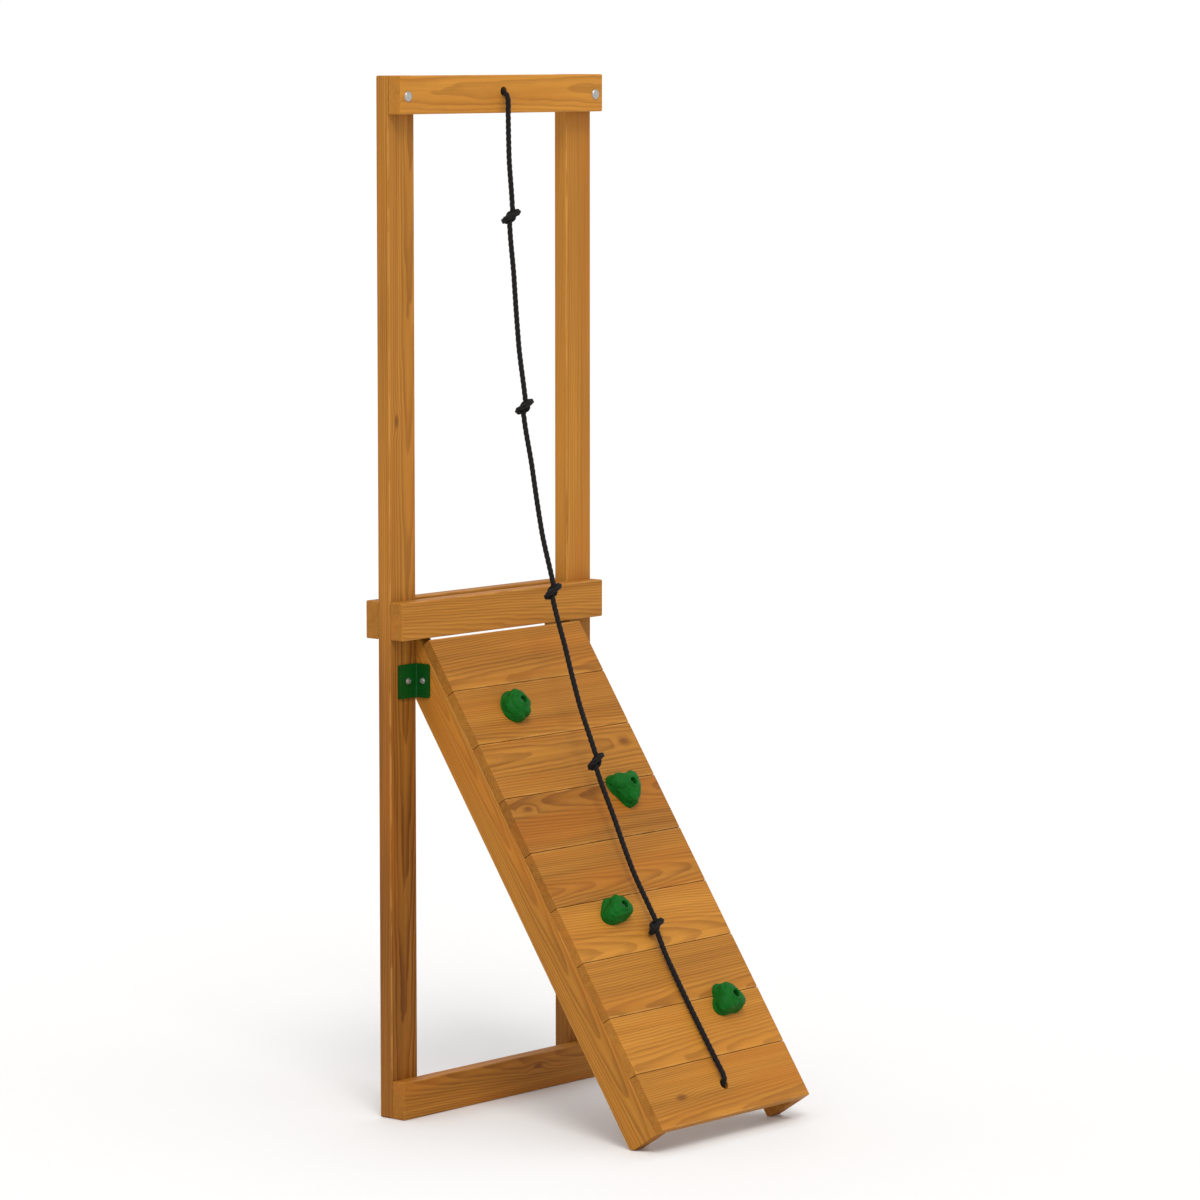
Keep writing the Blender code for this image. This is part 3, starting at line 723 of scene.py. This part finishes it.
def hold_material():
    """Green moulded resin with a gritty skin, pale dust on its ridges and dark pits."""
    material, graph, shader = new_material("green_hold")
    place = graph.object_place()
    grit = graph.noise(place, 900.0, detail=3.0)
    cloud = graph.noise(place, 45.0, detail=3.0)
    pits = graph.fade(graph.cells(place, 420.0), 0.10, 0.32)
    shade = graph.math("MULTIPLY_ADD", cloud, 0.7, graph.math("MULTIPLY", grit, 0.45), clamp=True)
    colour = graph.mix(shade, (0.0004, 0.040, 0.0028, 1), (0.0010, 0.135, 0.0085, 1))
    colour = graph.mix(graph.math("SUBTRACT", 1.0, pits), colour, (0.0003, 0.022, 0.002, 1))
    ridge = graph.node("ShaderNodeNewGeometry", {}).outputs["Pointiness"]
    rub = graph.math("MULTIPLY", graph.fade(ridge, 0.515, 0.60), graph.fade(cloud, 0.35, 0.60))
    colour = graph.mix(graph.math("MULTIPLY", rub, 0.4), colour, (0.0060, 0.210, 0.0220, 1))
    graph.feed(shader.inputs["Base Color"], colour)
    graph.feed(shader.inputs["Roughness"], graph.math("MULTIPLY_ADD", grit, 0.30, 0.42))
    shader.inputs["Specular IOR Level"].default_value = 0.13
    height = graph.math("MULTIPLY_ADD", pits, 0.4, graph.math("MULTIPLY", grit, 0.6))
    graph.feed(shader.inputs["Normal"], graph.bump(height, 0.0008, 0.7))
    return material


def make_holds():
    material = hold_material()
    for index in range(1, HOLD_COUNT + 1):
        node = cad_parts[f"rock_hold_{index}"]
        hold = add_to_scene(bpy.data.objects.new(f"rock_hold_{index}_moulded", node.data.copy()))
        hold.data.materials.clear()
        remesh = hold.modifiers.new("Skin", "REMESH")
        remesh.mode = "VOXEL"
        remesh.voxel_size = HOLD_VOXEL
        apply_modifiers(hold)
        roughen_hold(hold, index)
        hold.data.materials.append(material)
        hold.data.shade_smooth()
        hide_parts(node.name)
        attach(hold, "root")


def apply_modifiers(obj):
    """Turns the object's evaluated shape into its mesh."""
    graph = bpy.context.evaluated_depsgraph_get()
    mesh = bpy.data.meshes.new_from_object(obj.evaluated_get(graph))
    obj.modifiers.clear()
    obj.data = mesh


def roughen_hold(hold, seed):
    """Broad broken facets, smaller bumps and a finger groove under the upper lip.

    Every move is inwards, so the hold stays in its solid's place, and the seat round the
    bolt and the back on the board stay as they are.
    """
    back = min(OUTWARD.dot(v.co) for v in hold.data.vertices)
    crown = max(OUTWARD.dot(v.co) for v in hold.data.vertices)
    middle = sum((v.co for v in hold.data.vertices), Vector()) / len(hold.data.vertices)
    normals = [v.normal.copy() for v in hold.data.vertices]
    for vertex, normal in zip(hold.data.vertices, normals):
        point = vertex.co.copy()
        offset = point - middle
        flat = offset - OUTWARD * offset.dot(OUTWARD)
        lift = (OUTWARD.dot(point) - back) / (crown - back)
        free = min(1.0, lift * 9) * min(1.0, max(0.0, flat.length - BOLT_CLEAR) / BOLT_CLEAR_FADE)
        spot = point * FACET_SCALE + Vector((seed * 5.3, seed * 2.1, 0))
        facet = noise.voronoi(spot, distance_metric="DISTANCE")[0]
        broad = min(1.0, max(0.0, (facet[1] - facet[0]) * 2.2))
        bump = noise.noise(point * BUMP_SCALE + Vector((seed, 0, 0))) * 0.5 + 0.5
        grain = noise.noise(point * GRAIN_SCALE) * 0.5 + 0.5
        dent = FACET_DENT * (1 - broad) + BUMP_DENT * bump + GRAIN_DENT * grain
        upper = max(0.0, flat.normalized().dot(UP_SLOPE)) if flat.length > 1e-6 else 0.0
        groove = math.exp(-((lift - GROOVE_LIFT) / GROOVE_SPREAD) ** 2) * upper ** 1.5
        vertex.co = point - normal * free * (dent + GROOVE_DENT * groove)
    hold.data.update()


# ---- Metal -------------------------------------------------------------------------------


def galvanised_material():
    material, graph, shader = new_material("galvanised")
    place = graph.object_place()
    spangle = graph.cells(place, 520.0)
    dull = graph.noise(place, 160.0, detail=3.0)
    colour = graph.mix(graph.fade(spangle, 0.1, 0.6), (0.56, 0.54, 0.50, 1), (0.38, 0.37, 0.35, 1))
    stain = graph.fade(dull, 0.56, 0.74, 0.0, 0.35)
    colour = graph.mix(stain, colour, (0.24, 0.20, 0.15, 1))
    graph.feed(shader.inputs["Base Color"], colour)
    graph.feed(shader.inputs["Roughness"], graph.math("MULTIPLY_ADD", dull, 0.30, 0.26))
    graph.feed(shader.inputs["Normal"], graph.bump(dull, 0.0002, 0.4))
    shader.inputs["Metallic"].default_value = 0.92
    return material


def bracket_material():
    """Dark green powder coat, with its orange peel and paler, rougher scuffed patches."""
    material, graph, shader = new_material("green_powder_coat")
    place = graph.object_place()
    peel = graph.noise(place, 620.0, detail=1.0)
    cloud = graph.noise(place, 60.0, detail=3.0)
    colour = graph.mix(cloud, (0.0006, 0.034, 0.0026, 1), (0.0012, 0.066, 0.0052, 1))
    scuff = graph.fade(graph.noise(place, 240.0, detail=4.0, roughness=0.7), 0.66, 0.72, 0.0, 0.7)
    colour = graph.mix(scuff, colour, (0.0060, 0.120, 0.0170, 1))
    graph.feed(shader.inputs["Base Color"], colour)
    graph.feed(shader.inputs["Roughness"], graph.math("MULTIPLY_ADD", scuff, 0.3, 0.42))
    graph.feed(shader.inputs["Normal"], graph.bump(peel, 0.0004, 0.35))
    shader.inputs["Specular IOR Level"].default_value = 0.18
    return material


def screw_coat_material():
    """The tan ceramic coat of deck screws."""
    material, graph, shader = new_material("tan_screw_coat")
    cloud = graph.noise(graph.object_place(), 300.0, detail=3.0)
    colour = graph.mix(cloud, (0.115, 0.062, 0.024, 1), (0.215, 0.120, 0.050, 1))
    graph.feed(shader.inputs["Base Color"], colour)
    graph.feed(shader.inputs["Roughness"], graph.math("MULTIPLY_ADD", cloud, 0.20, 0.40))
    return material


def skin_mesh(name, rings, collar=False):
    """Joins rings of equally many points into one skin: capped, or as a collar round a bore."""
    shape = bmesh.new()
    loops = [[shape.verts.new(point) for point in ring] for ring in rings]
    if collar:
        loops.append(loops[0])
    else:
        shape.faces.new(loops[0])
        shape.faces.new(loops[-1])
    for lower, upper in zip(loops, loops[1:]):
        for i in range(len(lower)):
            j = (i + 1) % len(lower)
            shape.faces.new((lower[i], lower[j], upper[j], upper[i]))
    bmesh.ops.recalc_face_normals(shape, faces=shape.faces)
    mesh = bpy.data.meshes.new(name)
    shape.to_mesh(mesh)
    shape.free()
    mesh.shade_smooth()
    mesh.set_sharp_from_angle(angle=SHARP_EDGE)
    return mesh


def circle(radius, height):
    turns = (2 * math.pi * i / FASTENER_SIDES for i in range(FASTENER_SIDES))
    return [(radius * math.cos(t), radius * math.sin(t), height) for t in turns]


def hexagon(radius, height, cut=0.0):
    """A hexagon as a ring. cut draws its corners in, for a chamfer."""
    points = []
    for i in range(FASTENER_SIDES):
        turn = 2 * math.pi * i / FASTENER_SIDES
        off_flat = (turn + math.pi / 6) % (math.pi / 3) - math.pi / 6
        reach = min(radius * math.cos(math.pi / 6) / math.cos(off_flat), radius - cut)
        points.append((reach * math.cos(turn), reach * math.sin(turn), height))
    return points


def thread(radius, start, end):
    """The ridges of a thread, as rings from start to end."""
    count = max(2, round(abs(end - start) / THREAD_PITCH))
    rings = []
    for k in range(count):
        height = start + (end - start) * k / count
        rings.append(circle(radius, height))
        rings.append(circle(radius * THREAD_ROOT_SHARE, height + (end - start) / count / 2))
    rings.append(circle(radius * THREAD_TIP_SHARE, end))
    return rings


def standing(axis, point):
    """A place whose Z runs along axis, at the point."""
    turn = Vector((0, 0, 1)).rotation_difference(Vector(axis)).to_matrix().to_4x4()
    return Matrix.Translation(point) @ turn


def fit_piece(name, mesh, place, material, node=None):
    """Adds a piece of the still body, in place of a CAD node if one is named."""
    piece = add_to_scene(bpy.data.objects.new(name, mesh))
    mesh.transform(place)
    mesh.materials.append(material)
    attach(piece, "root")
    if node:
        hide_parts(node)
    return piece


def carriage_bolt_mesh(name, shank):
    """A domed head, a plain shank and a threaded tail. Z = 0 is under the head."""
    rings = []
    for turn in (80, 62, 44, 26, 8):
        angle = math.radians(turn)
        rings.append(circle(BOLT_HEAD_RADIUS * math.cos(angle), -BOLT_HEAD_HEIGHT * math.sin(angle)))
    rings.append(circle(BOLT_HEAD_RADIUS, -SKIN_GAP))
    rings.append(circle(BOLT_RADIUS, -SKIN_GAP))
    rings.append(circle(BOLT_RADIUS, shank - THREAD_LENGTH))
    return skin_mesh(name, rings + thread(BOLT_RADIUS, shank - THREAD_LENGTH, shank))


def flange_nut_mesh(name):
    """A flanged hexagon nut with its corners chamfered. Z = 0 is under the flange."""
    rings = [
        circle(BOLT_RADIUS + SKIN_GAP, 0.0),
        circle(NUT_FLANGE_RADIUS, 0.0),
        circle(NUT_FLANGE_RADIUS, NUT_FLANGE * 0.6),
        circle(NUT_RADIUS + NUT_EASE, NUT_FLANGE),
        hexagon(NUT_RADIUS, NUT_FLANGE * 1.4),
        hexagon(NUT_RADIUS, NUT_HEIGHT - NUT_CHAMFER_HEIGHT),
        hexagon(NUT_RADIUS, NUT_HEIGHT, cut=NUT_CHAMFER_WIDTH),
        circle(BOLT_RADIUS + NUT_EASE, NUT_HEIGHT),
        circle(BOLT_RADIUS + SKIN_GAP, NUT_HEIGHT - NUT_EASE),
    ]
    return skin_mesh(name, rings, collar=True)


def lag_screw_mesh(name, length):
    """A hexagon head on a washer, a shank and a thread. Z = 0 is under the washer."""
    rings = [
        hexagon(LAG_HEX_RADIUS, -LAG_HEAD_HEIGHT, cut=LAG_CHAMFER_WIDTH),
        hexagon(LAG_HEX_RADIUS, -LAG_HEAD_HEIGHT + LAG_CHAMFER_HEIGHT),
        hexagon(LAG_HEX_RADIUS, -LAG_WASHER),
        circle(LAG_HEAD_RADIUS, -LAG_WASHER * 0.8),
        circle(LAG_HEAD_RADIUS, -SKIN_GAP),
        circle(LAG_RADIUS, -SKIN_GAP),
        circle(LAG_RADIUS, length * LAG_PLAIN_SHARE),
    ]
    rings += thread(LAG_RADIUS, length * LAG_PLAIN_SHARE, length - LAG_TIP_GAP)
    return skin_mesh(name, rings)


def cap_screw_mesh(name, tail, seat):
    """A cap screw with a hexagon socket. Its head stands on Z = seat, its end is at tail."""
    top = seat + CAP_HEAD_HEIGHT
    rings = thread(BOLT_RADIUS, 0.0, tail)
    return skin_mesh(name, [
        *reversed(rings),
        circle(BOLT_RADIUS, seat),
        circle(CAP_HEAD_RADIUS, seat),
        circle(CAP_HEAD_RADIUS, top - CAP_CHAMFER),
        circle(CAP_HEAD_RADIUS - CAP_CHAMFER, top),
        hexagon(SOCKET_RADIUS, top),
        hexagon(SOCKET_RADIUS, top - SOCKET_DEPTH),
    ])


def bracket_mesh(name, sign):
    """Sheet bent to a right angle, with rounded corners, in its solid's place.

    The path runs along the side that lies on the timbers: past the post, round the bend and
    out along the rail. Each stop has the sheet's turn and its share, which runs from 0 at an
    end to 1 past the end's rounded corners.
    """
    low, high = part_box(name)
    near_x, far_x = sorted((abs(low.x), abs(high.x)))
    outer = BRACKET_BEND + BRACKET_THICK
    path = []
    for share in np.linspace(0, 1, BRACKET_STEPS):
        path.append((far_x - BRACKET_CORNER * share**2, high.y, 0, share))
    for turn in np.radians(np.linspace(0, 90, BRACKET_STEPS)):
        x = near_x + outer * (1 - math.sin(turn))
        path.append((x, high.y - outer * (1 - math.cos(turn)), turn, 1))
    for share in np.linspace(1, 0, BRACKET_STEPS):
        path.append((near_x, low.y + BRACKET_CORNER * share**2, math.pi / 2, share))
    rings = []
    for x, y, turn, share in path:
        inset = BRACKET_CORNER * (1 - share) ** 2
        over_x = sign * (x + BRACKET_THICK * math.sin(turn))
        over_y = y - BRACKET_THICK * math.cos(turn)
        bottom, top = low.z + inset, high.z - inset
        under = ((sign * x, y, bottom), (sign * x, y, top))
        rings.append((*under, (over_x, over_y, top), (over_x, over_y, bottom)))
    return skin_mesh(f"{name}_bent", rings)


def finish_metal():
    """Steel fasteners, coated screws and the bent brackets, with their heads and threads."""
    steel = galvanised_material()
    coat = bracket_material()
    tan = screw_coat_material()
    for side, sign in (("left", -1), ("right", 1)):
        make_frame_bolt(side, steel)
        name = f"corner_bracket_{side}"
        fit_piece(f"{name}_bent", bracket_mesh(name, sign), Matrix(), coat, name)
    for index in range(1, HOLD_COUNT + 1):
        make_hold_screw(index, steel)
        finish_node(f"tee_nut_{index}", steel)
    for name in sorted(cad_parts):
        if name.startswith(("mid_screw", "ground_screw")):
            make_lag_screw(name, Vector((0, -1, 0)), steel)
        elif name.startswith("post_screw"):
            make_lag_screw(name, Vector((0, 1, 0)), steel)
        elif name.startswith("rail_screw"):
            make_lag_screw(name, Vector((1 if "left" in name else -1, 0, 0)), steel)
    for index in range(1, BOARD_COUNT + 1):
        make_board_screws(index, tan)


def make_lag_screw(name, inward, material):
    low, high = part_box(name)
    axis = [abs(part) > 0.5 for part in inward].index(True)
    start, end = (low, high) if inward[axis] > 0 else (high, low)
    under = (low + high) / 2
    under[axis] = start[axis] + inward[axis] * LAG_HEAD_HEIGHT
    length = abs(end[axis] - under[axis])
    mesh = lag_screw_mesh(name, length)
    fit_piece(f"{name}_threaded", mesh, standing(inward, under), material, name)


def make_frame_bolt(side, material):
    """The carriage bolt through the top beam and a post, and its nut."""
    low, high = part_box(f"top_bolt_{side}")
    under = (low + high) / 2
    under.y = low.y + BOLT_HEAD_HEIGHT
    place = standing((0, 1, 0), under)
    name = f"top_bolt_{side}_threaded"
    mesh = carriage_bolt_mesh(name, high.y - under.y)
    fit_piece(name, mesh, place, material, f"top_bolt_{side}")
    low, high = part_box(f"top_nut_{side}")
    seat = (low + high) / 2
    seat.y = low.y
    place = standing((0, 1, 0), seat)
    name = f"top_nut_{side}_chamfered"
    fit_piece(name, flange_nut_mesh(name), place, material, f"top_nut_{side}")


def make_hold_screw(index, material):
    """The cap screw through a rock hold, found from its solid's ends along its own axis."""
    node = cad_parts[f"hold_screw_{index}"]
    points = [node.matrix_world @ v.co for v in node.data.vertices]
    middle = sum(points, Vector()) / len(points)
    reaches = [OUTWARD.dot(point - middle) for point in points]
    seat = max(reaches) - CAP_HEAD_HEIGHT
    name = f"hold_screw_{index}_socketed"
    mesh = cap_screw_mesh(name, min(reaches), seat)
    fit_piece(name, mesh, standing(OUTWARD, middle), material, f"hold_screw_{index}")


def make_board_screws(index, material):
    """Four deck screws, their dished heads just proud of the board over the rails."""
    middle, wide, thick = board_shape(index)
    pick = np.random.default_rng(70 + index)
    name = f"board_screws_{index}"
    joined = bmesh.new()
    for sign in (-1, 1):
        for up in (-BOARD_SCREW_SPREAD, BOARD_SCREW_SPREAD):
            astray_x, astray_up = pick.uniform(-BOARD_SCREW_ASTRAY, BOARD_SCREW_ASTRAY, 2)
            spot = middle + Vector((sign * RAIL_X + astray_x, 0, 0))
            spot += UP_SLOPE * (up + astray_up) + OUTWARD * (thick / 2)
            rings = [circle(BOARD_SCREW_RADIUS * share, height) for share, height in BOARD_SCREW_HEAD]
            mesh = skin_mesh(name, rings)
            mesh.transform(standing(OUTWARD, spot))
            joined.from_mesh(mesh)
    mesh = bpy.data.meshes.new(name)
    joined.to_mesh(mesh)
    joined.free()
    fit_piece(name, mesh, Matrix(), material)


make_camera()
make_light()
make_floor()
make_rope()
finish_timbers()
finish_boards()
make_holds()
finish_metal()
